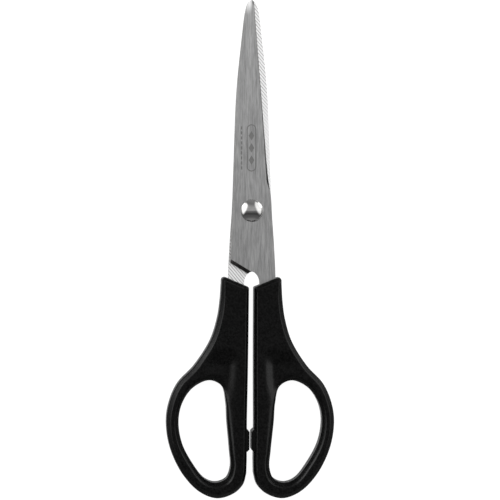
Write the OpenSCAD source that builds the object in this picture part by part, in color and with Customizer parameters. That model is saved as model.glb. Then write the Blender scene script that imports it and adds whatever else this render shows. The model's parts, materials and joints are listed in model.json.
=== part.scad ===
// Office scissors lying flat: tips towards +Y, the rivet's dome up, Z = 0 under the handles.
// The rear blade, the left handle and the rivet stay still; the front half turns on the rivet.
// Outlines are drawn from the pivot: X across, Y towards the tips. Sizes are in millimetres.

/* [Blades] */
// Distance from the pivot to the tips
blade_reach = 75.8; // [60:0.1:90]
// Thickness of the blade steel
blade_t = 1.6; // [1.2:0.1:2]
// Running gap between the blades' inner faces
blade_gap = 0.06; // [0.04:0.02:0.1]
// Width of the ground bevel where it is widest, seen from above
bevel_w = 0.55; // [0.3:0.05:1.2]
// Width of the chamfer on the blade's shoulder, seen from above
shoulder_w = 1.25; // [0.6:0.05:1.5]
// Depth of the stamped mark
mark_depth = 0.06; // [0.03:0.01:0.15]

/* [Handles] */
// Thickness of the moulded handles
handle_h = 9; // [8:0.5:11]
// Height of the bevel round each handle
edge_bevel_h = 1.5; // [1:0.1:2.5]
// Height of the bevel round each finger hole
rim_bevel_h = 1.4; // [1:0.1:2]
// Depth of the thumb scoop above each finger hole
scoop_depth = 1.3; // [0.6:0.1:1.6]
// Lean of the handles to the left of the blades' axis, in degrees
handle_lean = 0.49; // [0:0.01:1]

/* [Pivot] */
// Diameter of the rivet's flange
flange_d = 8.1; // [7:0.1:10]
// Height of the rivet's dome above its flange
dome_h = 1.6; // [1:0.1:1.8]
// Diameter of the rivet's shank
shank_d = 4; // [3:0.1:4.6]
// Radial clearance of the front blade on the shank
running_gap = 0.05; // [0.02:0.01:0.1]
// Thickness of the washer under the peened tail
washer_t = 0.5; // [0.3:0.1:0.6]

/* [Stops] */
// Gap between the two stops at rest
stop_gap = 0.7; // [0.2:0.02:0.8]
// Length of each stop along the handle
stop_len = 8.1; // [6:0.1:10]
// Height of each stop
stop_h = 7.4; // [4:0.2:7.6]

/* [Hidden] */
$fn = 48;

// Heights of the stack
mid_z = handle_h / 2;
front_z = mid_z + blade_gap / 2;
front_top = front_z + blade_t;
rear_bottom = mid_z - blade_gap / 2 - blade_t;

// Blade outline: spine from the shoulder to the tip, then the edge back to the heel
edge_land = 0.05;
blade_scale = blade_reach / 75.8;
spine = [[-7.75, -18.9], [-7.2, -1], [-6.65, 16.6], [-5.6, 42.6], [-3.9, 60], [-2.3, 72.3],
         [-1.3, 75], [-0.2, 75.8]];
edge = [[0.5, 75.6], [0.87, 75], [1.25, 69.7], [5.46, 16.7], [5.95, 11.5], [6.6, 6.6]];
edge_bevels = [0.5, 0.55, 0.6, 1, 0.9, 0];
ricasso = [[6.95, 4], [7.2, -1], [8, -13], [8.5, -24]];
tang = [[8.4, -28], [8.6, -35], [9.4, -44], [10, -49], [9.6, -51], [8, -51.8], [6.4, -51.3],
        [5.4, -49], [4.3, -42], [3.2, -34], [2.75, -28]];
notch = [[2.75, -26.6], [2.5, -24.7], [1.8, -23.3], [0.9, -22.4], [0, -22.05], [-0.7, -22.2],
         [-1.35, -22.8]];
tang_holes = [[5.9, -34.5], [7.2, -45.5]];
tang_hole_r = 1.4;

// Handle outline and finger hole, clockwise, each point with its bevel width
handle_outline = concat(
    arc([9.7, -25.25], 1.25, 112, 0, 1.1, 1.15, 6),
    curve([[10.95, -26.2, 1.2], [11.35, -32.5, 1.65], [12.3, -39, 1.7], [14.8, -47, 1.7],
           [20.4, -55.9, 1.7], [26.6, -62.7, 1.7], [29.7, -70.1, 1.7], [30.5, -77, 1.7],
           [29, -86, 1.7], [24.4, -95.5, 1.7], [18.2, -101.9, 1.7], [11.8, -104.2, 1.7],
           [5.8, -102.4, 1.6], [2.4, -99, 1.4], [1.25, -95, 1.2]], 4),
    [[1.13, -90, 1.2], [1.2, -76, 1.2], [1, -60, 1.2], [0.9, -46, 1.2], [0.85, -29.3, 1.15]],
    arc([1.65, -28.15], 0.8, 180, 112, 0.7, 0.7, 4),
    [[2.36, -26.98, 1.15]]);
hole_outline = closed_curve(
    [[14.9, -61.3, 2.3], [20.9, -64, 1.7], [24.7, -69.5, 1.5], [26, -76, 1.5], [24.7, -84, 1.6],
     [20.5, -92, 1.6], [16.4, -97, 1.7], [12.4, -98.4, 1.8], [8.6, -96.9, 1.9], [7.1, -93, 1.9],
     [7.5, -86.5, 2.2], [8.5, -76, 3], [8.9, -69.5, 3.5], [10.4, -63.5, 4.2]], 4);
scoop_at = [10.8, -57.8];
scoop_r = 13;

// Stops
stop_y = -83.1;
stop_root = 2.6;
stop_chamfer = 0.85;

// Rivet
dome_r = flange_d / 2 - 0.18;
flange_t = 0.25;
tail_r = 3;
tail_h = 0.8;
washer_r = 3.9;

// Middle of the whole outline, which becomes X = 0 and Y = 0
leaned = [for (side = [1, -1]) for (p = handle_outline) lean([side * p.x, p.y])];
low_x = min([for (p = leaned) p.x]);
high_x = max([for (p = leaned) p.x]);
low_y = min([for (p = leaned) p.y]);
centre = [(low_x + high_x) / 2, (low_y + blade_reach) / 2];

function lean(p) = [p.x * cos(handle_lean) + p.y * sin(handle_lean),
                    p.y * cos(handle_lean) - p.x * sin(handle_lean)];
function unit(v) = v / norm(v);
function flat(p) = [p.x, p.y];

// Arc from angle a to angle b, with the bevel width going from v to w
function arc(c, r, a, b, v, w, steps) =
    [for (k = [0 : steps]) let (t = k / steps, g = a + (b - a) * t)
        [c.x + r * cos(g), c.y + r * sin(g), v + (w - v) * t]];

// Smooth curve through points: a centripetal spline between b and c, with neighbours a and d
function spline_at(a, b, c, d, t) =
    let (l = sqrt(norm(b - a)), m = sqrt(norm(c - b)), n = sqrt(norm(d - c)),
         from_b = ((b - a) / l - (c - a) / (l + m) + (c - b) / m) * m,
         into_c = ((c - b) / m - (d - b) / (m + n) + (d - c) / n) * m)
    (2 * t ^ 3 - 3 * t ^ 2 + 1) * b + (t ^ 3 - 2 * t ^ 2 + t) * from_b
    + (3 * t ^ 2 - 2 * t ^ 3) * c + (t ^ 3 - t ^ 2) * into_c;
function curve(p, steps) =
    let (n = len(p), q = concat([2 * p[0] - p[1]], p, [2 * p[n - 1] - p[n - 2]]))
    [for (i = [1 : n - 1]) for (k = [(i == 1 ? 0 : 1) : steps])
        spline_at(q[i - 1], q[i], q[i + 1], q[i + 2], k / steps)];
function closed_curve(p, steps) =
    let (n = len(p))
    [for (i = [0 : n - 1]) for (k = [0 : steps - 1])
        spline_at(p[(i + n - 1) % n], p[i], p[(i + 1) % n], p[(i + 2) % n], k / steps)];

// A clockwise outline moved inwards by a part of each point's own width; outwards if negative
function inset(outline, part) =
    let (n = len(outline))
    [for (i = [0 : n - 1])
        let (b = flat(outline[i]), w = outline[i].z * part,
             d = unit(unit(b - flat(outline[(i + n - 1) % n]))
                      + unit(flat(outline[(i + 1) % n]) - b)))
        [b.x + w * d.y, b.y - w * d.x]];
// Blade points above the pivot follow the blade's length
function reach(p) = [p.x, p.y > 0 ? p.y * blade_scale : p.y];

// Waste that runs round a clockwise outline. Its section is a list of [part of the width, height]
// that goes up on the outer side and comes down on the inner side.
module swept_round(outline, section) {
    n = len(outline);
    m = len(section);
    rings = [for (s = section) [for (p = inset(outline, s[0])) [p.x, p.y, s[1]]]];
    polyhedron(
        points = [for (ring = rings) each ring],
        faces = [for (r = [0 : m - 1]) for (i = [0 : n - 1]) for (half = [0, 1])
            let (j = (i + 1) % n, low = r * n, high = (r + 1) % m * n)
            half == 0 ? [low + i, low + j, high + j] : [low + i, high + j, high + i]]);
}

module placed() {
    translate([-centre.x, -centre.y, 0]) children();
}

// The rear half is the front half turned over about Y
module turned_over() {
    translate([0, 0, handle_h]) rotate([0, 180, 0]) children();
}

// Blade
module blade_blank() {
    outline = [for (p = concat(curve(spine, 5), edge, ricasso, tang, notch)) reach(p)];
    translate([0, 0, front_z]) linear_extrude(blade_t) difference() {
        polygon(outline);
        for (h = tang_holes) translate(h) circle(r = tang_hole_r);
    }
}

// Waste outside the ground bevel, swept from past the tip to the heel
module bevel_waste() {
    over = 0.5;
    side = 2;
    stations = concat([[edge[0].x, edge[0].y + 1, edge_bevels[0]]],
                      [for (i = [0 : len(edge) - 1]) [edge[i].x, edge[i].y, edge_bevels[i]]]);
    slope = [for (s = stations) s.z * bevel_w / (blade_t - edge_land)];
    points = [for (i = [0 : len(stations) - 1])
        let (s = reach(stations[i]))
        for (q = [[0, edge_land], [side, edge_land], [side, blade_t + over],
                  [-slope[i] * (blade_t + over - edge_land), blade_t + over]])
            [s.x + q.x, s.y, front_z + q.y]];
    last = len(points) - 4;
    polyhedron(points = points, faces = concat(
        [[0, 1, 2, 3], [last + 3, last + 2, last + 1, last]],
        [for (s = [0 : 4 : last - 4]) for (k = [0 : 3]) for (half = [0, 1])
            let (m = (k + 1) % 4)
            half == 0 ? [s + k, s + 4 + k, s + 4 + m] : [s + k, s + 4 + m, s + m]]));
}

module shoulder_waste() {
    from = spine[0];
    to = notch[len(notch) - 1];
    run_out = 1.4;
    depth = 1;
    along = unit(to - from);
    translate([from.x - run_out * along.x, from.y - run_out * along.y, front_top])
        rotate([0, 0, atan2(along.y, along.x)]) rotate([90, 0, 90])
            linear_extrude(norm(to - from) + 2 * run_out)
                polygon([[shoulder_w, 0], [shoulder_w, 1], [-1, 1],
                         [-1, -depth * (1 + 1 / shoulder_w)]]);
}

// A generic stamp: a ring with three lozenges, and a row of dashes beside it
module slot_2d(length, width) {
    square([width, length - width], center = true);
    for (side = [1, -1]) translate([0, side * (length - width) / 2]) circle(d = width);
}

module mark() {
    ring_at = [-0.2, 22.6 * blade_scale];
    ring_line = 0.35;
    dashes_x = -3.8;
    translate([0, 0, front_top - mark_depth]) linear_extrude(1) {
        translate(ring_at) {
            difference() {
                slot_2d(17, 3.5);
                slot_2d(17 - 2 * ring_line, 3.5 - 2 * ring_line);
            }
            for (k = [-1 : 1]) translate([0, k * 4.4])
                polygon([[1, 0], [0, 1.7], [-1, 0], [0, -1.7]]);
        }
        for (k = [-4 : 4]) translate([dashes_x, ring_at.y + k * 1.8])
            square([0.5, 1.1], center = true);
    }
}

module blade(bore_r, marked) {
    difference() {
        blade_blank();
        bevel_waste();
        shoulder_waste();
        translate([0, 0, front_z - 1]) cylinder(r = bore_r, h = blade_t + 2);
        if (marked) mark();
    }
}

module front_blade() {
    color("silver") placed() blade(shank_d / 2 + running_gap, true);
}

module rear_blade() {
    color("gainsboro") placed() turned_over() blade(shank_d / 2, false);
}

// Handle, with the tang moulded in and a pocket for the stop
module on_both_faces() {
    children();
    translate([0, 0, handle_h]) mirror([0, 0, 1]) children();
}

module edge_waste() {
    over = 0.1;
    low = handle_h - edge_bevel_h;
    swept_round(handle_outline,
        [[-1, low], [-1, handle_h + over], [1 + over / edge_bevel_h, handle_h + over], [0, low]]);
}

module rim_waste() {
    over = 0.1;
    low = handle_h - rim_bevel_h;
    swept_round(hole_outline,
        [[0, low], [-1 - over / rim_bevel_h, handle_h + over], [0.2, handle_h + over], [0.2, low]]);
}

module stop_block() {
    face = stop_gap / 2;
    half = stop_len / 2;
    shy = face + stop_chamfer;
    translate([0, stop_y, mid_z - stop_h / 2]) linear_extrude(stop_h)
        polygon([[face, half - stop_chamfer], [shy, half], [stop_root, half],
                 [stop_root, -half], [shy, -half], [face, stop_chamfer - half]]);
}

module handle_body() {
    difference() {
        linear_extrude(handle_h) difference() {
            polygon(inset(handle_outline, 0));
            polygon(inset(hole_outline, 0));
        }
        on_both_faces() {
            edge_waste();
            rim_waste();
            translate([scoop_at.x, scoop_at.y, handle_h + scoop_r - scoop_depth]) sphere(r = scoop_r);
        }
        stop_block();
    }
}

module leaning() {
    rotate([0, 0, -handle_lean]) children();
}

module right_handle() {
    color("#1c1c1e") placed() difference() {
        leaning() handle_body();
        blade_blank();
    }
}

module left_handle() {
    color("#1c1c1e") placed() difference() {
        leaning() turned_over() handle_body();
        turned_over() blade_blank();
    }
}

module right_stop() {
    color("#2a2a2c") placed() leaning() stop_block();
}

module left_stop() {
    color("#2a2a2c") placed() leaning() turned_over() stop_block();
}

// Pivot
module pivot_rivet() {
    flange_z = front_top + blade_gap / 2;
    tail_z = rear_bottom - washer_t - tail_h;
    ball_r = (dome_r ^ 2 + dome_h ^ 2) / (2 * dome_h);
    dome_z = flange_z + flange_t;
    color("lightgray") placed() {
        translate([0, 0, tail_z]) cylinder(r = tail_r, h = tail_h);
        translate([0, 0, tail_z]) cylinder(d = shank_d, h = dome_z - tail_z);
        translate([0, 0, flange_z]) cylinder(d = flange_d, h = flange_t);
        intersection() {
            translate([0, 0, dome_z + dome_h - ball_r]) sphere(r = ball_r);
            translate([0, 0, dome_z]) cylinder(r = dome_r, h = dome_h + 1);
        }
    }
}

module rivet_washer() {
    color("darkgray") placed() translate([0, 0, rear_bottom - washer_t]) difference() {
        cylinder(r = washer_r, h = washer_t);
        translate([0, 0, -1]) cylinder(d = shank_d, h = washer_t + 2);
    }
}

front_blade();
rear_blade();
right_handle();
left_handle();
pivot_rivet();
rivet_washer();
right_stop();
left_stop();
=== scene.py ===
"""Looks of the office scissors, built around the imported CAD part."""
import json
import math

import bmesh
import bpy
import numpy as np
from mathutils import Matrix, Vector
from mathutils.geometry import delaunay_2d_cdt

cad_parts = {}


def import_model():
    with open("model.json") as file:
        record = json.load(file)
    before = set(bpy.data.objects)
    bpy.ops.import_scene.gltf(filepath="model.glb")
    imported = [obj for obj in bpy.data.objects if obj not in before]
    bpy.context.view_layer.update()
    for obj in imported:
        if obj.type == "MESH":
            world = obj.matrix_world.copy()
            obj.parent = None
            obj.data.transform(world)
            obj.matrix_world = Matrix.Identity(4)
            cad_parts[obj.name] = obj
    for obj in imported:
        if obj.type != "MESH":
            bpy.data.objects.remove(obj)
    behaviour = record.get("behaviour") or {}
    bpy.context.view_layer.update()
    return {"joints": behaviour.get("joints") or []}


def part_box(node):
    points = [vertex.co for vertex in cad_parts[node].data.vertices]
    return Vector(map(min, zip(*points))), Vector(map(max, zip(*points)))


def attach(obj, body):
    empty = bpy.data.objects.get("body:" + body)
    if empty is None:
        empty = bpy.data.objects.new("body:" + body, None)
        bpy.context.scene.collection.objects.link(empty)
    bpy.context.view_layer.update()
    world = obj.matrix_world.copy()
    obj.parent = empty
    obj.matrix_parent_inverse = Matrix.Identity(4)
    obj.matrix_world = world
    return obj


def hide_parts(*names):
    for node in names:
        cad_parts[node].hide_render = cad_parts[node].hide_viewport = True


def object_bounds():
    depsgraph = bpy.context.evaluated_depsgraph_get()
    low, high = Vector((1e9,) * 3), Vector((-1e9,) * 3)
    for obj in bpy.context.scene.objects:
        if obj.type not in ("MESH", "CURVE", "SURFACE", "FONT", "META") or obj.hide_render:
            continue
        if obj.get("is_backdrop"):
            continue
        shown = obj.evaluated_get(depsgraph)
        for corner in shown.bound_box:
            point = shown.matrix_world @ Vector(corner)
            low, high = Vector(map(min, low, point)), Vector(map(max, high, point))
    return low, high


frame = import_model()

MM = 0.001
PIVOT = Vector(frame["joints"][0]["pos_m"])
HANDLE_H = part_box("right_handle")[1].z / MM
MID = HANDLE_H / 2
FRONT_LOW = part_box("front_blade")[0].z / MM
FRONT_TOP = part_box("front_blade")[1].z / MM
BLADE_T = FRONT_TOP - FRONT_LOW
REAR_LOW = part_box("rear_blade")[0].z / MM
LEAN = math.radians(0.49)  # of the handles against the blades
FRONT, REAR = "front_half", "rear_half"


# ---------------------------------------------------------------- outlines, in mm from the pivot
def arc(centre, radius, start, end, widths, steps):
    """Points [x, y, bevel width] on an arc, angles in degrees."""
    t = np.linspace(0, 1, steps + 1)
    a = np.radians(start + (end - start) * t)
    w = widths[0] + (widths[1] - widths[0]) * t
    return np.column_stack([centre[0] + radius * np.cos(a), centre[1] + radius * np.sin(a), w])


def spline(points, steps, closed=False):
    """Centripetal spline through points; any further columns are interpolated with x and y."""
    p = np.array(points, float)
    n = len(p)
    if closed:
        spans = [(p[i - 1], p[i], p[(i + 1) % n], p[(i + 2) % n]) for i in range(n)]
    else:
        q = np.vstack([2 * p[0] - p[1], p, 2 * p[-1] - p[-2]])
        spans = [(q[i], q[i + 1], q[i + 2], q[i + 3]) for i in range(n - 1)]
    out = []
    for a, b, c, d in spans:
        before, span, after = (math.sqrt(np.linalg.norm(v[:2])) for v in (b - a, c - b, d - c))
        from_b = ((b - a) / before - (c - a) / (before + span) + (c - b) / span) * span
        into_c = ((c - b) / span - (d - b) / (span + after) + (d - c) / after) * span
        for t in np.arange(steps) / steps:
            out.append((2 * t**3 - 3 * t**2 + 1) * b + (t**3 - 2 * t**2 + t) * from_b
                       + (3 * t**2 - 2 * t**3) * c + (t**3 - t**2) * into_c)
    if not closed:
        out.append(p[-1])
    return np.array(out)


def refined(outline, longest):
    """The same closed outline with long straight stretches divided."""
    out = []
    for a, b in zip(outline, np.roll(outline, -1, axis=0)):
        parts = max(1, math.ceil(np.linalg.norm((b - a)[:2]) / longest))
        out += [a + (b - a) * k / parts for k in range(parts)]
    return np.array(out)


def unit(vectors):
    """Vectors scaled to length 1."""
    return vectors / np.linalg.norm(vectors, axis=1)[:, None]


def inward(outline):
    """Unit normals that point into a clockwise outline."""
    p = outline[:, :2]
    along = unit(unit(p - np.roll(p, 1, axis=0)) + unit(np.roll(p, -1, axis=0) - p))
    return np.column_stack([along[:, 1], -along[:, 0]])


def inside(points, outline):
    """Which points lie inside a closed outline."""
    x, y = points[:, 0][:, None], points[:, 1][:, None]
    ax, ay = outline[:, 0], outline[:, 1]
    bx, by = np.roll(ax, -1), np.roll(ay, -1)
    crosses = (ay > y) != (by > y)
    at = ax + (y - ay) * (bx - ax) / np.where(by == ay, 1e-12, by - ay)
    return (crosses & (x < at)).sum(axis=1) % 2 == 1


def smoothstep(low, high, v):
    """0 below low and 1 above high; with low above high it falls instead."""
    t = np.clip((v - low) / (high - low), 0, 1)
    return t * t * (3 - 2 * t)


# ---------------------------------------------------------------- meshes
def swung(points, angle):
    """x and y of points swung clockwise about the pivot."""
    x = points[:, 0] * math.cos(angle) + points[:, 1] * math.sin(angle)
    y = points[:, 1] * math.cos(angle) - points[:, 0] * math.sin(angle)
    return x, y


def settle(obj, rear, lean=True):
    """Moves a mesh made in mm about the pivot, as part of the front half, to its place in metres. The rear
    half is the same shape turned over."""
    mesh = obj.data
    p = np.array([v.co for v in mesh.vertices], float)
    if rear:
        p = p * [-1, 1, -1] + [0, 0, HANDLE_H]
    x, y = swung(p, LEAN if lean else 0)
    placed = np.column_stack([x * MM + PIVOT.x, y * MM + PIVOT.y, p[:, 2] * MM])
    mesh.vertices.foreach_set("co", placed.ravel())
    mesh.update()


def make_object(name, points, faces, weld=1e-7):
    """A mesh object with small gaps closed, its faces turned outward, and points nearer to each other than
    weld, in the mesh's own unit, merged."""
    most_gap_sides = 8
    mesh = bpy.data.meshes.new(name)
    mesh.from_pydata([tuple(p) for p in points], [], [tuple(int(i) for i in f) for f in faces])
    edit = bmesh.new()
    edit.from_mesh(mesh)
    bmesh.ops.remove_doubles(edit, verts=edit.verts, dist=weld)
    bmesh.ops.dissolve_degenerate(edit, dist=weld, edges=edit.edges)
    bmesh.ops.holes_fill(edit, edges=[e for e in edit.edges if e.is_boundary], sides=most_gap_sides)
    bmesh.ops.recalc_face_normals(edit, faces=edit.faces)
    edit.to_mesh(mesh)
    edit.free()
    obj = bpy.data.objects.new(name, mesh)
    bpy.context.scene.collection.objects.link(obj)
    return obj


def ring_faces(rows, n, close_rows=False):
    """Quads between consecutive rings of n points each."""
    faces = []
    for r in range(rows if close_rows else rows - 1):
        low, high = r * n, (r + 1) % rows * n
        for i in range(n):
            j = (i + 1) % n
            faces.append((low + i, high + i, high + j, low + j))
    return faces


def prism(outline, low, high):
    """A closed prism as points and faces."""
    n = len(outline)
    points = [(p[0], p[1], z) for z in (low, high) for p in outline]
    return points, ring_faces(2, n) + [tuple(range(n)), tuple(range(2 * n - 1, n - 1, -1))]


def joined(*parts):
    """Several lots of points and faces as one."""
    points, faces = [], []
    for part_points, part_faces in parts:
        faces += [tuple(i + len(points) for i in f) for f in part_faces]
        points += [tuple(p) for p in part_points]
    return points, faces


def cut(obj, cutter):
    """Takes cutter away from obj and removes it."""
    modifier = obj.modifiers.new("cut", "BOOLEAN")
    modifier.operation = "DIFFERENCE"
    modifier.solver = "EXACT"
    modifier.object = cutter
    apply_modifiers(obj)
    bpy.data.objects.remove(cutter)


def apply_modifiers(obj):
    """Keeps the mesh as its modifiers leave it."""
    graph = bpy.context.evaluated_depsgraph_get()
    mesh = bpy.data.meshes.new_from_object(obj.evaluated_get(graph), preserve_all_data_layers=True,
                                           depsgraph=graph)
    obj.modifiers.clear()
    obj.data = mesh


def shade(obj, angle):
    """Smooth shading, with edges over angle degrees kept sharp."""
    obj.data.polygons.foreach_set("use_smooth", [True] * len(obj.data.polygons))
    obj.data.set_sharp_from_angle(angle=math.radians(angle))
    weighted = obj.modifiers.new("weighted", "WEIGHTED_NORMAL")
    weighted.keep_sharp = True
    apply_modifiers(obj)


def bezier(a, control, b, steps):
    """Points on a quadratic curve from a to b, without a itself."""
    return [(1 - t) ** 2 * a + 2 * t * (1 - t) * control + t**2 * b
            for t in np.arange(1, steps + 1) / steps]


# ---------------------------------------------------------------- materials
GRIND_SLANT = math.radians(50)
GRIND_PITCH = 0.85
HOLLOW_SHADE = 0.4
PLACE_UNIT = 100  # mm to one unit of a blade's "across" coordinates


def new_material(name):
    """A material with its nodes, its links and its shader."""
    material = bpy.data.materials.new(name)
    material.use_nodes = True
    nodes = material.node_tree.nodes
    return material, nodes, material.node_tree.links, nodes["Principled BSDF"]


def coordinates(nodes, links, scale=(1, 1, 1)):
    """Object coordinates, scaled."""
    place = nodes.new("ShaderNodeTexCoord")
    stretch = nodes.new("ShaderNodeMapping")
    stretch.inputs["Scale"].default_value = scale
    links.new(place.outputs["Object"], stretch.inputs["Vector"])
    return stretch.outputs["Vector"]


def noise(nodes, links, vector, scale, detail=2.0, rough=0.5):
    texture = nodes.new("ShaderNodeTexNoise")
    texture.inputs["Scale"].default_value = scale
    texture.inputs["Detail"].default_value = detail
    texture.inputs["Roughness"].default_value = rough
    links.new(vector, texture.inputs["Vector"])
    return texture.outputs["Fac"]


def ramp(nodes, links, value, stops):
    """A colour ramp with stops (position, colour), where a colour may be one grey level."""
    node = nodes.new("ShaderNodeValToRGB")
    while len(node.color_ramp.elements) < len(stops):
        node.color_ramp.elements.new(0.5)
    for element, (position, colour) in zip(node.color_ramp.elements, stops):
        element.position = position
        element.color = (*colour, 1) if hasattr(colour, "__len__") else (colour, colour, colour, 1)
    links.new(value, node.inputs["Fac"])
    return node.outputs["Color"]


def maths(nodes, links, operation, a, b=0.0):
    """One operation on two values, each a number or an output."""
    node = nodes.new("ShaderNodeMath")
    node.operation = operation
    for socket, value in zip(node.inputs, (a, b)):
        if isinstance(value, float):
            socket.default_value = value
        else:
            links.new(value, socket)
    return node.outputs["Value"]


def soft_step(nodes, links, value, low, high):
    """0 below low and 1 above high; with low above high it falls instead."""
    node = nodes.new("ShaderNodeMapRange")
    node.interpolation_type = "SMOOTHSTEP"
    node.inputs["From Min"].default_value = low
    node.inputs["From Max"].default_value = high
    links.new(value, node.inputs["Value"])
    return node.outputs["Result"]


def bump(nodes, links, height, shader, strength, distance, under=None):
    """Relief up to distance metres high, over the relief under it."""
    node = nodes.new("ShaderNodeBump")
    node.inputs["Strength"].default_value = strength
    node.inputs["Distance"].default_value = distance
    links.new(height, node.inputs["Height"])
    if under:
        links.new(under, node.inputs["Normal"])
    links.new(node.outputs["Normal"], shader.inputs["Normal"])
    return node.outputs["Normal"]


def tangent(nodes, links, shader, uv):
    """Turns the shader's streaked gloss to follow a UV map."""
    node = nodes.new("ShaderNodeTangent")
    node.direction_type = "UV_MAP"
    node.uv_map = uv
    links.new(node.outputs["Tangent"], shader.inputs["Tangent"])


def blade_place(nodes, links):
    """x and y on a blade, in units of PLACE_UNIT."""
    place = nodes.new("ShaderNodeUVMap")
    place.uv_map = "across"
    split = nodes.new("ShaderNodeSeparateXYZ")
    links.new(place.outputs["UV"], split.inputs["Vector"])
    return split.outputs["X"], split.outputs["Y"]


def tip_painted_highlight(nodes, links):
    """1 along the blade; a painted highlight on the tip beside the spine, a painted dark reflection at its
    edge corner.
    """
    brightening, darkening = 1.7, 0.85
    x, y = blade_place(nodes, links)
    # painted highlight on the tip beside the spine, then a painted dark reflection on the tip's edge corner
    painted_highlight_mask = maths(nodes, links, "MULTIPLY", soft_step(nodes, links, y, 0.7, 0.755),
                   soft_step(nodes, links, x, 0.003, -0.008))
    corner = maths(nodes, links, "MULTIPLY", soft_step(nodes, links, y, 0.738, 0.749),
                   soft_step(nodes, links, x, 0.0005, 0.0035))
    brighter = maths(nodes, links, "ADD", maths(nodes, links, "MULTIPLY", painted_highlight_mask, brightening), 1.0)
    darker = maths(nodes, links, "SUBTRACT", 1.0, maths(nodes, links, "MULTIPLY", corner, darkening))
    return maths(nodes, links, "MULTIPLY", brighter, darker)


def brushed_steel():
    """Outer faces: fine streaks along the blade."""
    material, nodes, links, shader = new_material("brushed_steel")
    shader.inputs["Metallic"].default_value = 1
    shader.inputs["Anisotropic"].default_value = 0.8
    tangent(nodes, links, shader, "across")
    # Both noises are drawn out along the blade
    fine = noise(nodes, links, coordinates(nodes, links, (3000, 190, 3000)), 1, 4, 0.7)
    broad = noise(nodes, links, coordinates(nodes, links, (900, 50, 900)), 1, 2, 0.5)
    mixed = nodes.new("ShaderNodeMix")
    mixed.inputs["Factor"].default_value = 0.25
    links.new(fine, mixed.inputs["A"])
    links.new(broad, mixed.inputs["B"])
    tone = ramp(nodes, links, mixed.outputs["Result"], [(0.32, 0.21), (0.5, 0.3), (0.68, 0.395)])
    # the tone carries the painted highlight and painted dark reflection at the tip
    links.new(maths(nodes, links, "MULTIPLY", tone, tip_painted_highlight(nodes, links)), shader.inputs["Base Color"])
    links.new(ramp(nodes, links, mixed.outputs["Result"], [(0.25, 0.26), (0.75, 0.38)]),
              shader.inputs["Roughness"])
    bump(nodes, links, fine, shader, 0.12, 0.000004)
    return material


def hollow(nodes, links):
    """1 on the margin beside the spine and on the tang, less in the hollow."""
    x, y = blade_place(nodes, links)
    to_cm = 10.0
    half_width = ramp(nodes, links, y,
                      [(0.0, 0.717), (0.166, 0.665), (0.426, 0.56), (0.6, 0.39), (0.723, 0.23)])
    from_spine = maths(nodes, links, "ADD", maths(nodes, links, "MULTIPLY", x, to_cm), half_width)
    depth = maths(nodes, links, "MULTIPLY", soft_step(nodes, links, from_spine, 0.24, 0.34),
                  soft_step(nodes, links, y, -0.12, -0.06))
    return maths(nodes, links, "SUBTRACT", 1.0, maths(nodes, links, "MULTIPLY", depth, HOLLOW_SHADE))


def line_strength(nodes, links):
    """How much the grinding lines show: fully near the tip and on the tang, faintly beside the rivet."""
    half = 0.5  # brings y, from -1 to 1, to the ramp's 0 to 1
    y = blade_place(nodes, links)[1]
    along = maths(nodes, links, "ADD", maths(nodes, links, "MULTIPLY", y, half), half)
    return ramp(nodes, links, along, [(0.42, 1.0), (0.46, 0.3), (0.65, 0.3), (0.72, 1.0)])


def ground_steel():
    """Inner faces: near-white, with evenly spaced grinding lines across the blade at a slant, and greyer
    in the hollow between the bright margin beside the spine and the edge."""
    material, nodes, links, shader = new_material("ground_steel")
    shader.inputs["Metallic"].default_value = 1
    shader.inputs["Anisotropic"].default_value = 0.8
    tangent(nodes, links, shader, "slant")
    place = nodes.new("ShaderNodeUVMap")
    place.uv_map = "slant"
    wave = nodes.new("ShaderNodeTexWave")
    wave.inputs["Scale"].default_value = math.pi / 10 / GRIND_PITCH
    wave.inputs["Distortion"].default_value = 1.2
    wave.inputs["Detail Scale"].default_value = 0.4
    links.new(place.outputs["UV"], wave.inputs["Vector"])
    stretch = nodes.new("ShaderNodeMapping")
    stretch.inputs["Scale"].default_value = (9, 0.25, 1)
    links.new(place.outputs["UV"], stretch.inputs["Vector"])
    fine = noise(nodes, links, stretch.outputs["Vector"], 1, 3, 0.6)
    depth = maths(nodes, links, "MULTIPLY", line_strength(nodes, links),
                  ramp(nodes, links, wave.outputs["Fac"], [(0.0, 0.66), (0.24, 0.0)]))
    lines = maths(nodes, links, "SUBTRACT", 1.0, depth)
    grain = ramp(nodes, links, fine, [(0.3, 0.93), (0.6, 1.0)])
    tone = maths(nodes, links, "MULTIPLY", lines, grain)
    links.new(maths(nodes, links, "MULTIPLY", tone, hollow(nodes, links)), shader.inputs["Base Color"])
    links.new(ramp(nodes, links, fine, [(0.3, 0.3), (0.7, 0.42)]), shader.inputs["Roughness"])
    bump(nodes, links, wave.outputs["Fac"], shader, 0.15, 0.000006)
    return material


def grained(name, grain, colours, roughness, relief=None, scale=(1, 1, 1), metallic=1):
    """A material that runs between two colours and two roughnesses by one noise, given as its scale, detail
    and roughness. Any relief is given as its strength and its height in metres."""
    low, high = 0.3, 0.7
    material, nodes, links, shader = new_material(name)
    shader.inputs["Metallic"].default_value = metallic
    marks = noise(nodes, links, coordinates(nodes, links, scale), *grain)
    for values, socket in ((colours, "Base Color"), (roughness, "Roughness")):
        links.new(ramp(nodes, links, marks, [(low, values[0]), (high, values[1])]), shader.inputs[socket])
    if relief:
        bump(nodes, links, marks, shader, *relief)
    return material, nodes, links, shader


def edge_steel(name, low, high, grazing=None):
    """Sharpened bevel, shoulder chamfer and sides: short marks across the edge, between two greys. With
    grazing, its brightness at a low angle changes along the blade."""
    colours = [(low, 0.96 * low, 0.93 * low), (high, 0.96 * high, 0.94 * high)]
    material, nodes, links, shader = grained(name, (1, 3, 0.6), colours, (0.28, 0.4), (0.1, 0.000004),
                                             scale=(150, 4200, 900))
    if grazing:
        tint = ramp(nodes, links, blade_place(nodes, links)[1], grazing)
        links.new(tint, shader.inputs["Specular Tint"])
    return material


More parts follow.
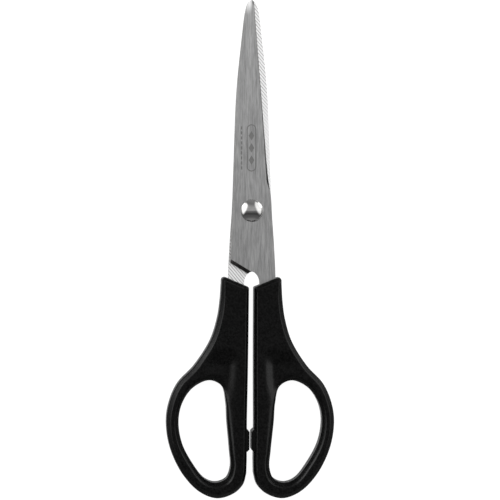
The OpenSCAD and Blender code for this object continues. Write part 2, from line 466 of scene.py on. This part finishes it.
def etched_steel():
    """Floor of the stamped mark."""
    colours = [(0.165, 0.165, 0.165), (0.235, 0.235, 0.23)]
    return grained("etched_steel", (6000, 3, 0.6), colours, (0.5, 0.65), (0.2, 0.000005))[0]


def bright_nickel():
    """Rivet: mirror-bright, with a faint haze."""
    colours = [(0.275, 0.273, 0.27), (0.315, 0.312, 0.308)]
    return grained("bright_nickel", (900, 3, 0.6), colours, (0.05, 0.11))[0]


def washer_steel():
    """Washer: plain dull steel."""
    colours = [(0.19, 0.19, 0.19), (0.25, 0.248, 0.243)]
    return grained("washer_steel", (2500, 3, 0.6), colours, (0.3, 0.45), (0.1, 0.000005))[0]


def plastic_gloss(nodes, links, shader):
    """A faint gloss, strongest on faces that tilt a little and fading on steep sides."""
    weight = nodes.new("ShaderNodeLayerWeight")
    level = ramp(nodes, links, weight.outputs["Facing"],
                 [(0.0, 0.08), (0.05, 0.1), (0.1, 0.17), (0.16, 0.15), (0.22, 0.06), (0.3, 0.045),
                  (0.5, 0.035), (0.9, 0.015)])
    links.new(level, shader.inputs["Specular IOR Level"])


def moulded_black():
    """Handles: black plastic with a fine spark-eroded grain."""
    material, nodes, links, shader = new_material("moulded_black")
    place = coordinates(nodes, links)
    fine = noise(nodes, links, place, 4200, 2, 0.6)
    coarse = noise(nodes, links, place, 1600, 3, 0.6)
    patchy = noise(nodes, links, place, 60, 3, 0.5)
    links.new(ramp(nodes, links, coarse, [(0.4, 0.0004), (0.62, 0.0045)]), shader.inputs["Base Color"])
    links.new(ramp(nodes, links, patchy, [(0.3, 0.26), (0.7, 0.32)]), shader.inputs["Roughness"])
    plastic_gloss(nodes, links, shader)
    under = bump(nodes, links, coarse, shader, 1, 0.00006)
    bump(nodes, links, fine, shader, 1, 0.00002, under)
    return material


def smooth_black():
    """Stops: a smoother black than the handles."""
    material, nodes, links, shader = grained("smooth_black", (3000, 2, 0.5), (0.0012, 0.0026), (0.26, 0.34),
                                             (0.2, 0.000008), metallic=0)
    plastic_gloss(nodes, links, shader)
    return material


STEEL_OUTER = brushed_steel()
STEEL_INNER = ground_steel()
STEEL_SIDE = edge_steel("side_steel", 0.11, 0.19)
STEEL_HONED = edge_steel("honed_steel", 0.012, 0.03, [(0.12, 0.42), (0.2, 0.55), (0.32, 0.72), (0.48, 1.0)])
STEEL_ETCHED = etched_steel()
NICKEL = bright_nickel()
WASHER = washer_steel()
BLACK_GRAINED = moulded_black()
BLACK_SMOOTH = smooth_black()

# ---------------------------------------------------------------- blade
# The outline runs clockwise from the foot of the spine
SPINE = spline([[-7.75, -18.9], [-7.2, -1], [-6.65, 16.6], [-5.6, 42.6], [-3.9, 60], [-2.3, 72.3],
                [-1.3, 75], [-0.2, 75.8]], 12)
EDGE = np.array([[0.5, 75.6], [0.87, 75], [1.25, 69.7], [5.46, 16.7], [5.95, 11.5], [6.6, 6.6]])
EDGE_BEVELS = [0.28, 0.3, 0.33, 0.58, 0.75, 0.03]  # widths of the ground bevel at the points of EDGE
RICASSO = spline([[6.6, 6.6], [6.95, 4], [7.2, -1], [8, -13], [8.5, -24], [8.4, -28]], 6)[1:]
TANG = np.array([[8.6, -35], [9.4, -44], [10, -49], [9.6, -51], [8, -51.8], [6.4, -51.3],
                 [5.4, -49], [4.3, -42], [3.2, -34], [2.75, -28]])
NOTCH = spline([[2.75, -26.6], [2.5, -24.7], [1.8, -23.3], [0.9, -22.4], [0, -22.05], [-0.7, -22.2],
                [-1.35, -22.8]], 5)
EDGE_LAND = 0.05  # thickness left at the edge under the ground bevel
SHOULDER_W = 1.25
SHOULDER_DEPTH = 1
FRONT_BORE, REAR_BORE = 2.05, 2.0
NEAR_BORE = 2.6  # edges closer to the pivot than this belong to the bore
MARK_DEPTH = 0.06
MARK_AT, MARK_LINE = np.array([-0.2, 22.6]), 0.35
RING_LENGTH, RING_WIDTH = 17, 3.5
# Half sizes and spacing of the lozenges and of the dashes
LOZENGE, LOZENGE_PITCH = (1, 1.7), 4.4
DASH, DASH_PITCH, DASH_X = (0.25, 0.55), 1.8, -3.8
MARK_LOW, MARK_HIGH = (-5.5, 13), (2.5, 32)  # corners of a box round the whole mark


def bevel_waste():
    """Waste outside the ground bevel, which is widest near its root."""
    over, side, past_tip = 0.5, 2, 1
    stations = [(EDGE[0][0], EDGE[0][1] + past_tip, EDGE_BEVELS[0])]
    stations += [(x, y, w) for (x, y), w in zip(EDGE, EDGE_BEVELS)]
    points = []
    for x, y, w in stations:
        lean_in = w / (BLADE_T - EDGE_LAND) * (BLADE_T + over - EDGE_LAND)
        for dx, dz in ((0, EDGE_LAND), (side, EDGE_LAND), (side, BLADE_T + over), (-lean_in, BLADE_T + over)):
            points.append((x + dx, y, FRONT_LOW + dz))
    last = len(points) - 4
    return points, ring_faces(len(stations), 4) + [(0, 1, 2, 3), (last + 3, last + 2, last + 1, last)]


def shoulder_waste():
    """Waste above the shoulder's chamfer, along the line from the spine's foot to the notch."""
    start, end = SPINE[0], NOTCH[-1]
    along = (end - start) / np.linalg.norm(end - start)
    up = np.array([-along[1], along[0]])
    run_out = 1.4
    section = [(SHOULDER_W, 0), (SHOULDER_W, 1), (-1, 1), (-1, -SHOULDER_DEPTH * (1 + 1 / SHOULDER_W))]
    points = []
    for centre in (start - run_out * along, end + run_out * along):
        points += [(*(centre + a * up), FRONT_TOP + z) for a, z in section]
    return points, ring_faces(2, 4) + [(0, 1, 2, 3), (7, 6, 5, 4)]


def capsule(length, width, at):
    """A long ring with round ends."""
    r, half = width / 2, (length - width) / 2
    a = np.radians(np.linspace(0, 180, 11))
    top = np.column_stack([r * np.cos(a), r * np.sin(a) + half])
    return np.vstack([top, -top]) + at


def mark_waste():
    """A generic stamp: a ring with three lozenges, and a row of dashes beside it."""
    low, high = FRONT_TOP - MARK_DEPTH, FRONT_TOP + 0.5
    outer = capsule(RING_LENGTH, RING_WIDTH, MARK_AT)
    inner = capsule(RING_LENGTH - 2 * MARK_LINE, RING_WIDTH - 2 * MARK_LINE, MARK_AT)
    ring_points = [(*p, z) for outline, z in ((outer, low), (outer, high), (inner, high), (inner, low))
                   for p in outline]
    parts = [(ring_points, ring_faces(4, len(outer), close_rows=True))]
    half_x, half_y = LOZENGE
    for k in range(-1, 2):
        c = MARK_AT + [0, k * LOZENGE_PITCH]
        parts.append(prism([c + [half_x, 0], c + [0, half_y], c - [half_x, 0], c - [0, half_y]], low, high))
    half_x, half_y = DASH
    for k in range(-4, 5):
        c = np.array([DASH_X, MARK_AT[1] + k * DASH_PITCH])
        corners = ((half_x, half_y), (-half_x, half_y), (-half_x, -half_y), (half_x, -half_y))
        parts.append(prism([c + corner for corner in corners], low, high))
    return joined(*parts)


def blade(name, body, rear):
    """A flat blank with its ground bevel, chamfered shoulder and bore, and the stamp on the front one."""
    outline = np.vstack([SPINE, EDGE, RICASSO, TANG, NOTCH])
    obj = make_object(name, *prism(outline, FRONT_LOW, FRONT_TOP))
    a = np.radians(np.arange(0, 360, 7.5))
    bore = REAR_BORE if rear else FRONT_BORE
    hole = np.column_stack([bore * np.cos(a), bore * np.sin(a)])
    wastes = [bevel_waste(), shoulder_waste(), prism(hole, FRONT_LOW - 1, FRONT_TOP + 1)]
    if not rear:
        wastes.append(mark_waste())
    for waste in wastes:
        cut(obj, make_object("waste", *waste))
    finish_blade(obj)
    settle(obj, rear, lean=False)
    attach(obj, body)
    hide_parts(name.replace("_look", ""))


def finish_blade(obj):
    """Rounds the long outer edges a little, then gives each face its finish and its grain direction."""
    fold, rounding, edge_starts_y = math.radians(30), 0.07, 6
    level, facing_edge, top_area = 0.9, 0.6, 30
    edit = bmesh.new()
    edit.from_mesh(obj.data)
    soft = []
    for e in edit.edges:
        if len(e.link_faces) != 2 or e.calc_face_angle(0) < fold:
            continue
        heights = [v.co.z for v in e.verts]
        middle = (e.verts[0].co + e.verts[1].co) / 2
        beside = MARK_LOW[0] < middle.x < MARK_HIGH[0] and MARK_LOW[1] < middle.y < MARK_HIGH[1]
        in_mark = beside and min(heights) > FRONT_TOP - 2 * MARK_DEPTH
        in_bore = middle.xy.length < NEAR_BORE
        sharp_edge = max(heights) < FRONT_LOW + 2 * EDGE_LAND and middle.x > 0 and middle.y > edge_starts_y
        if not (in_mark or in_bore or sharp_edge):
            soft.append(e)
    bmesh.ops.bevel(edit, geom=soft, offset=rounding, segments=2, profile=0.6, affect="EDGES",
                    clamp_overlap=True)
    edit.to_mesh(obj.data)
    edit.free()
    mesh = obj.data
    finishes = (STEEL_OUTER, STEEL_INNER, STEEL_SIDE, STEEL_ETCHED, STEEL_HONED)
    for material in finishes:
        mesh.materials.append(material)
    for name in ("across", "slant"):
        mesh.uv_layers.new(name=name)
    across, slant = mesh.uv_layers["across"], mesh.uv_layers["slant"]
    along, over = math.cos(GRIND_SLANT), math.sin(GRIND_SLANT)
    for face in mesh.polygons:
        if face.normal.z > level:
            on_top = face.center.z > FRONT_TOP - MARK_DEPTH / 2 or face.area > top_area
            finish = STEEL_OUTER if on_top else STEEL_ETCHED
        elif face.normal.z < -level:
            finish = STEEL_INNER
        else:
            honed = face.normal.x > facing_edge and face.center.y > EDGE[-1][1] and face.center.x > 0
            finish = STEEL_HONED if honed else STEEL_SIDE
        face.material_index = finishes.index(finish)
        for loop in face.loop_indices:
            co = mesh.vertices[mesh.loops[loop].vertex_index].co
            across.data[loop].uv = (co.x / PLACE_UNIT, co.y / PLACE_UNIT)
            slant.data[loop].uv = (co.x * over - co.y * along, co.x * along + co.y * over)
    shade(obj, angle=25)


# ---------------------------------------------------------------- handle
EDGE_BEVEL_H = 1.5
DRAFT = 0.08
LONGEST_STEP = 0.8
HANDLE_OUTLINE = refined(np.vstack([
    arc([9.7, -25.25], 1.25, 112, 0, (1.1, 1.15), 10),
    spline([[10.95, -26.2, 1.2], [11.35, -32.5, 1.65], [12.3, -39, 1.7], [14.8, -47, 1.7],
            [20.4, -55.9, 1.7], [26.6, -62.7, 1.7], [29.7, -70.1, 1.7], [30.5, -77, 1.7],
            [29, -86, 1.7], [24.4, -95.5, 1.7], [18.2, -101.9, 1.7], [11.8, -104.2, 1.7],
            [5.8, -102.4, 1.6], [2.4, -99, 1.4], [1.25, -95, 1.2]], 16),
    [[1.13, -90, 1.2], [1.2, -76, 1.2], [1, -60, 1.2], [0.9, -46, 1.2], [0.85, -29.3, 1.15]],
    arc([1.65, -28.15], 0.8, 180, 112, (0.7, 0.7), 8),
    [[2.36, -26.98, 1.15]]]), LONGEST_STEP)
# Each point of the finger hole has its rim's width and how crisp the rim is, from a soft rounding to a bevel
HOLE_OUTLINE = refined(spline(
    [[14.9, -61.3, 2.3, 0.2], [20.9, -64, 1.7, 0.7], [24.7, -69.5, 1.5, 1], [26, -76, 1.5, 1],
     [24.7, -84, 1.6, 1], [20.5, -92, 1.6, 1], [16.4, -97, 1.7, 1], [12.4, -98.4, 1.8, 1],
     [8.6, -96.9, 1.9, 0.9], [7.1, -93, 1.9, 0.7], [7.5, -86.5, 2.2, 0.4], [8.5, -76, 3, 0.15],
     [8.9, -69.5, 3.5, 0], [10.4, -63.5, 4.2, 0]], 14, closed=True), LONGEST_STEP)
# A crisp rim has a steep lower facet and a crest facet: their slopes, and the crest's width
RIM_STEEP, RIM_SLOPE, RIM_CREST = 1.3, 0.93, 0.6
WALL_TOP = MID + 2.6
SCOOP_DEPTH = 1.4
# Low and high corners of boxes round the scoop and round the whole top face
SCOOP_BOX = ((3, -70), (19, -49))
TOP_BOX = ((0, -105), (31, -24))
PARTING = [(0.05, MID), (0, MID + 0.1)]  # a fine groove at the parting line


def scoop(x, y):
    """Depth of the thumb scoop above the finger hole, as a part of its full depth. Its inner side is the
    steeper one."""
    inner = smoothstep(4.4, 8.9, x + 0.06 * (y + 58))
    outer = 1 - smoothstep(8.0, 18.5, x)
    return inner * outer * smoothstep(-49.5, -56, y) * smoothstep(-70, -60, y)


def scooped(points):
    """Lowers the top face, and what it blends into, by the scoop."""
    p = np.array(points, float)
    above = np.maximum(p[:, 2] - WALL_TOP, 0) / (HANDLE_H - WALL_TOP)
    p[:, 2] -= SCOOP_DEPTH * scoop(p[:, 0], p[:, 1]) * above
    return p


def outer_rings():
    """Rings from the parting line up the wall, over the bevel and onto the top face."""
    foot_round, crease_round, run_on = 0.6, 0.28, 0.22
    rings = []
    for point, normal in zip(HANDLE_OUTLINE, inward(HANDLE_OUTLINE)):
        w = point[2]
        foot = np.array([DRAFT, HANDLE_H - EDGE_BEVEL_H])
        crease = np.array([w, HANDLE_H])
        slope = (crease - foot) / np.linalg.norm(crease - foot)
        below, before = foot - [0, foot_round], crease - crease_round * min(1, w) * slope
        profile = [*PARTING, below, *bezier(below, foot, foot + min(foot_round, 0.5 * w) * slope, 5)]
        profile += [before, *bezier(before, crease, crease + [run_on * w, 0], 4)]
        rings.append([(*(point[:2] + normal * a), z) for a, z in profile])
    return np.array(rings).transpose(1, 0, 2)


def rim_profile(width, crisp):
    """From the finger hole's wall over its rim: distances from the wall and heights."""
    end = math.radians(84)
    # How far the rounding of each corner reaches along the facets beside it
    foot_below, foot_above, knee_round, crease_before, crease_after = 0.35, 0.2, 0.1, 0.15, 0.25
    a = np.linspace(0, end, 20)
    soft = np.column_stack([width * (1 - np.cos(a)) / (1 - math.cos(end)),
                            WALL_TOP + (HANDLE_H - WALL_TOP) * np.sin(a) / math.sin(end)])
    steep, slope = (np.array([1, s]) / math.hypot(1, s) for s in (RIM_STEEP, RIM_SLOPE))
    crease = np.array([width, HANDLE_H])
    knee = crease - RIM_CREST * np.array([1, RIM_SLOPE])
    foot = knee - (width - RIM_CREST) * np.array([1, RIM_STEEP])
    low, high = foot - [0, foot_below], crease - crease_before * slope
    hard = [low] + bezier(low, foot, foot + foot_above * steep, 4)
    hard += [hard[-1] + (knee - knee_round * steep - hard[-1]) * k / 3 for k in range(1, 4)]
    hard += bezier(hard[-1], knee, knee + knee_round * slope, 3)
    hard += [hard[-1] + (high - hard[-1]) * k / 3 for k in range(1, 4)]
    hard += bezier(high, crease, crease + [crease_after, 0], 6)
    return soft + (np.array(hard) - soft) * min(max(crisp, 0), 1)


def rim_rings():
    """Rings from the parting line up the finger hole's wall and over its rim."""
    run_on = 0.4
    rings = []
    for (x, y, w, crisp), normal in zip(HOLE_OUTLINE, -inward(HOLE_OUTLINE)):
        profile = [*PARTING, (0, WALL_TOP - 1), *rim_profile(w, crisp), (w + run_on, HANDLE_H)]
        rings.append([(x + normal[0] * a, y + normal[1] * a, z) for a, z in profile])
    return np.array(rings).transpose(1, 0, 2)


def grid_points(low, high, step):
    """A grid of even triangles in a box."""
    rows = []
    for k, y in enumerate(np.arange(low[1], high[1], step * math.sqrt(0.75))):
        x = np.arange(low[0] + (k % 2) * step / 2, high[0], step)
        rows.append(np.column_stack([x, np.full(len(x), y)]))
    return np.vstack(rows)


def top_face(outer, hole):
    """Triangles between the outer crease and the rim, finer over the scoop."""
    clear_of_edge = 0.3
    coarse, fine = grid_points(*TOP_BOX, 1.0), grid_points(*SCOOP_BOX, 0.45)
    near = ((coarse > SCOOP_BOX[0]) & (coarse < SCOOP_BOX[1])).all(axis=1)
    inner = np.vstack([coarse[~near], fine])
    inner = inner[inside(inner, outer) & ~inside(inner, hole)]
    edge = np.vstack([outer, hole])
    gap = np.array([np.min(np.hypot(*(edge - p).T)) for p in inner])
    inner = inner[gap > clear_of_edge]
    points = np.vstack([outer, hole, inner])
    loops = [(i, (i + 1) % len(outer)) for i in range(len(outer))]
    loops += [(len(outer) + i, len(outer) + (i + 1) % len(hole)) for i in range(len(hole))]
    verts, _, faces, _, _, _ = delaunay_2d_cdt([Vector(p) for p in points], loops, [], 0, 1e-6)
    verts = np.array([tuple(v) for v in verts])
    centres = np.array([verts[list(f)].mean(axis=0) for f in faces])
    keep = inside(centres, outer) & ~inside(centres, hole)
    return verts, [tuple(f) for f, ok in zip(faces, keep) if ok]


def handle_mesh():
    """The whole moulding in mm, before the pockets are cut."""
    outer, rim = outer_rings(), rim_rings()
    top, top_faces = top_face(outer[-1][:, :2], rim[-1][:, :2])
    top = np.column_stack([top, np.full(len(top), HANDLE_H)])
    half = joined((scooped(outer.reshape(-1, 3)), ring_faces(*outer.shape[:2])),
                  (scooped(rim.reshape(-1, 3)), [f[::-1] for f in ring_faces(*rim.shape[:2])]),
                  (scooped(top), top_faces))
    points = np.array(half[0])
    below = points * [1, 1, -1] + [0, 0, HANDLE_H]
    return joined(half, (below, [f[::-1] for f in half[1]]))


# The stop's middle in y and its half length, its face and its root in x, and its chamfers
STOP_Y, STOP_HALF, STOP_FACE, STOP_ROOT, STOP_CHAMFER = -83.1, 4.05, 0.35, 2.6, 0.85
STOP_H = (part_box("right_stop")[1].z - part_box("right_stop")[0].z) / MM


def stop_outline(grow=0.0):
    """A pad with two chamfered corners on the side that meets the other stop."""
    half, face = STOP_HALF + grow, STOP_FACE - grow
    return np.array([[face, STOP_Y + half - STOP_CHAMFER], [face + STOP_CHAMFER, STOP_Y + half],
                     [STOP_ROOT + grow, STOP_Y + half], [STOP_ROOT + grow, STOP_Y - half],
                     [face + STOP_CHAMFER, STOP_Y - half], [face, STOP_Y - half + STOP_CHAMFER]])


def tang_slot():
    """The blade's tang with a hair of room, in the handle's leaning frame."""
    grow = 0.05
    ring = np.vstack([RICASSO[-6:], TANG, NOTCH[:2]])
    ring = ring - grow * inward(ring)
    return prism(np.column_stack(swung(ring, -LEAN)), FRONT_LOW - grow, FRONT_TOP + grow)


def handle(name, body, rear):
    """A handle with a pocket for its stop and a slot for the blade's tang."""
    obj = make_object(name, *handle_mesh(), weld=1e-4)
    gap = 0.07
    pocket = prism(stop_outline(gap), MID - STOP_H / 2 - gap, MID + STOP_H / 2 + gap)
    cut(obj, make_object("waste", *joined(pocket, tang_slot())))
    settle(obj, rear)
    obj.data.materials.clear()
    obj.data.materials.append(BLACK_GRAINED)
    shade(obj, angle=34)
    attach(obj, body)
    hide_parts(name.replace("_look", ""))


def stop(name, body, rear):
    """A stop pad with its edges rounded."""
    rounding = 0.12
    obj = make_object(name, *prism(stop_outline(), MID - STOP_H / 2, MID + STOP_H / 2))
    edit = bmesh.new()
    edit.from_mesh(obj.data)
    bmesh.ops.bevel(edit, geom=edit.edges[:], offset=rounding, segments=3, profile=0.5, affect="EDGES")
    edit.to_mesh(obj.data)
    edit.free()
    settle(obj, rear)
    obj.data.materials.append(BLACK_SMOOTH)
    shade(obj, angle=40)
    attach(obj, body)
    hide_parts(name.replace("_look", ""))


# ---------------------------------------------------------------- rivet and washer
SHANK_R, WASHER_T = 2.0, 0.5


def turned(name, profile, steps=96):
    """A solid turned about the pivot from a closed profile of (radius, height) in mm."""
    a = np.arange(steps) * 2 * math.pi / steps
    rings = [[(PIVOT.x + r * MM * math.cos(t), PIVOT.y + r * MM * math.sin(t), z * MM) for t in a]
             for r, z in profile]
    points = np.array(rings).reshape(-1, 3)
    return make_object(name, points, ring_faces(len(profile), steps, close_rows=True))


def rivet():
    """From the peened tail up the shank and over the flange to the dome."""
    low, high = (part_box("pivot_rivet")[k].z / MM for k in (0, 1))
    flange_low = FRONT_TOP + 0.03
    flange_r, dome_r, tail_r, flange_t, tail_round = 4.05, 3.87, 3.0, 0.25, 0.35
    axis, steps = 0.0001, 24
    dome_h = high - flange_low - flange_t
    ball = (dome_r**2 + dome_h**2) / (2 * dome_h)
    full = math.asin(dome_r / ball)
    dome = [(ball * math.sin(full * k / steps), high - ball * (1 - math.cos(full * k / steps)))
            for k in range(steps, 0, -1)]
    washer_low = REAR_LOW - WASHER_T
    tail = [(tail_r * math.sin(math.radians(g)), low + tail_round * (1 - math.cos(math.radians(g))))
            for g in range(6, 90, 6)]
    profile = [(axis, low)] + tail
    profile += [(tail_r, low + 0.4), (tail_r, washer_low - 0.08), (tail_r - 0.08, washer_low),
                (SHANK_R + 0.01, washer_low), (SHANK_R, washer_low + 0.01), (SHANK_R, flange_low - 0.01),
                (SHANK_R + 0.01, flange_low), (flange_r - 0.06, flange_low), (flange_r, flange_low + 0.05),
                (flange_r, flange_low + 0.16), (flange_r - 0.05, flange_low + 0.22),
                (dome_r + 0.05, flange_low + flange_t)]
    profile += dome + [(axis, high)]
    obj = turned("pivot_rivet_look", profile)
    obj.data.materials.append(NICKEL)
    shade(obj, angle=40)
    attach(obj, REAR)
    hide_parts("pivot_rivet")


def washer():
    """A plain ring with softened edges."""
    inner, outer, soft = SHANK_R, 3.9, 0.08
    low, high = REAR_LOW - WASHER_T, REAR_LOW
    profile = [(inner + soft, low), (outer - soft, low), (outer - soft / 3, low + soft / 3),
               (outer, low + soft), (outer, high - soft), (outer - soft / 3, high - soft / 3),
               (outer - soft, high), (inner + soft, high), (inner, high - soft), (inner, low + soft)]
    obj = turned("rivet_washer_look", profile)
    obj.data.materials.append(WASHER)
    shade(obj, angle=40)
    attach(obj, REAR)
    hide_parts("rivet_washer")


blade("front_blade_look", FRONT, rear=False)
blade("rear_blade_look", REAR, rear=True)
handle("right_handle_look", FRONT, rear=False)
handle("left_handle_look", REAR, rear=True)
stop("right_stop_look", FRONT, rear=False)
stop("left_stop_look", REAR, rear=True)
rivet()
washer()


# ---------------------------------------------------------------- studio
def floor():
    """A bright pale floor, just below the handles' flat undersides."""
    size, z = 3.0, -0.00005
    points = [(-size, -size, z), (size, -size, z), (size, size, z), (-size, size, z)]
    obj = make_object("floor", points, [(0, 1, 2, 3)])
    material, nodes, links, shader = new_material("pale_floor")
    shader.inputs["Base Color"].default_value = (0.18, 0.18, 0.18, 1)
    shader.inputs["Roughness"].default_value = 0.9
    shader.inputs["Emission Color"].default_value = (1, 1, 1, 1)
    shader.inputs["Emission Strength"].default_value = 0.96
    obj.data.materials.append(material)
    obj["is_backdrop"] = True


def softbox(nodes, links, across, y, z, inner, azimuths, heights, strength):
    """A bright window on one side with soft edges: a slanting inner edge, then limits as (dark, bright)
    pairs, two azimuths in degrees from the side and the heights z where it begins and ends."""
    slant = 0.4
    azimuth = maths(nodes, links, "ARCTAN2", y, across)
    slanted = maths(nodes, links, "ADD", across, maths(nodes, links, "MULTIPLY", y, slant))
    total = maths(nodes, links, "MULTIPLY", soft_step(nodes, links, slanted, *inner), strength)
    limits = [(azimuth, math.radians(a), math.radians(b)) for a, b in azimuths]
    limits += [(z, a, b) for a, b in heights]
    for value, dark, bright in limits:
        total = maths(nodes, links, "MULTIPLY", total, soft_step(nodes, links, value, dark, bright))
    return total


def world():
    """Two tall softboxes left and right, a low bright strip beside the tips on each side, and a ceiling
    that is darkest behind the handles."""
    exposure = 1.5
    studio = bpy.data.worlds.new("studio")
    bpy.context.scene.world = studio
    studio.use_nodes = True
    nodes, links = studio.node_tree.nodes, studio.node_tree.links
    place = nodes.new("ShaderNodeTexCoord")
    split = nodes.new("ShaderNodeSeparateXYZ")
    links.new(place.outputs["Generated"], split.inputs["Vector"])
    x, y, z = (split.outputs[k] for k in "XYZ")
    minus_x = maths(nodes, links, "MULTIPLY", x, -1.0)
    total = ramp(nodes, links, maths(nodes, links, "ADD", maths(nodes, links, "MULTIPLY", y, 0.5), 0.5),
                 [(0.0, 0.42), (0.05, 0.34), (0.11, 0.19), (0.2, 0.16), (0.28, 0.09), (0.325, 0.1),
                  (0.375, 0.18), (0.43, 0.28), (0.47, 0.31), (0.49, 0.42), (0.51, 0.7), (0.54, 0.8),
                  (0.58, 0.6), (0.68, 0.68), (0.81, 0.49), (0.9, 0.31), (1.0, 0.4)])
    low_strip = ((0.0, 0.1), ((6, 28), (54, 38)), ((0.0, 0.03), (0.3, 0.12)), 5.0)
    for across, light in ((minus_x, ((0.6, 0.86), ((-44, -16), (62, 48)), ((0.1, 0.3),), 2.2)),
                          (x, ((0.53, 0.8), ((-38, -10), (73, 59)), ((0.08, 0.3),), 1.5)),
                          (minus_x, low_strip), (x, low_strip)):
        total = maths(nodes, links, "ADD", total, softbox(nodes, links, across, y, z, *light))
    links.new(maths(nodes, links, "MULTIPLY", total, exposure), nodes["Background"].inputs["Strength"])
    nodes["Background"].inputs["Color"].default_value = (1, 1, 1, 1)


def camera():
    """Straight above, a little to the left and towards the tips, on a long lens."""
    distance, view_w, aim_z = 1.0, 0.1806, 0.005
    left, ahead = math.radians(4.5), math.radians(2.5)
    low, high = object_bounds()
    middle = (Vector(low) + Vector(high)) / 2
    data = bpy.data.cameras.new("camera")
    data.lens = data.sensor_width * distance / view_w
    data.clip_start, data.clip_end = 0.05, 20
    direction = Vector((-math.tan(left), math.tan(ahead), 1)).normalized()
    side = Vector((0, 1, 0)).cross(direction).normalized()
    up = direction.cross(side)
    obj = bpy.data.objects.new("camera", data)
    place = Matrix((side, up, direction)).transposed().to_4x4()
    place.translation = Vector((middle.x, middle.y, aim_z)) + direction * distance
    obj.matrix_world = place
    bpy.context.scene.collection.objects.link(obj)
    bpy.context.scene.camera = obj


floor()
world()
camera()
bpy.context.scene.view_settings.view_transform = "Standard"
